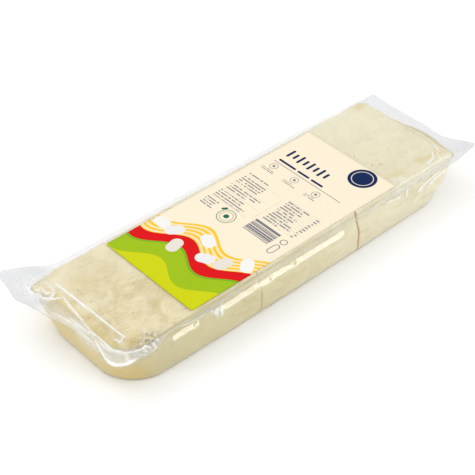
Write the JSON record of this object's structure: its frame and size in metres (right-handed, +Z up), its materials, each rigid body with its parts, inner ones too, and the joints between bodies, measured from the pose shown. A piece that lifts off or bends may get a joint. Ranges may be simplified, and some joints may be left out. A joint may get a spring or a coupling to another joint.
{
  "type": "clear vacuum pack of tofu blocks",
  "caption": "Clear vacuum pack of tofu: blocks lie end to end in a formed film tray with a wavy sealed rim and raised ears, and a paper label is stuck on the flat top.",
  "frame": {"origin": "middle of the flat base, where the pack rests", "axes": "+X along the pack's length, +Y across its width, +Z up through the label"},
  "size_m": [0.356, 0.1155, 0.045],
  "materials": {
    "tofu": "moist soft white-yellow soy curd with a faint mottle",
    "clear_film": "glossy clear plastic film, greyish where two layers are sealed",
    "label_paper": "smooth coated paper, printed in flat colours"
  },
  "bodies": {
    "root": {"film_pack": "tofu", "label": "label_paper"}
  },
  "joints": []
}
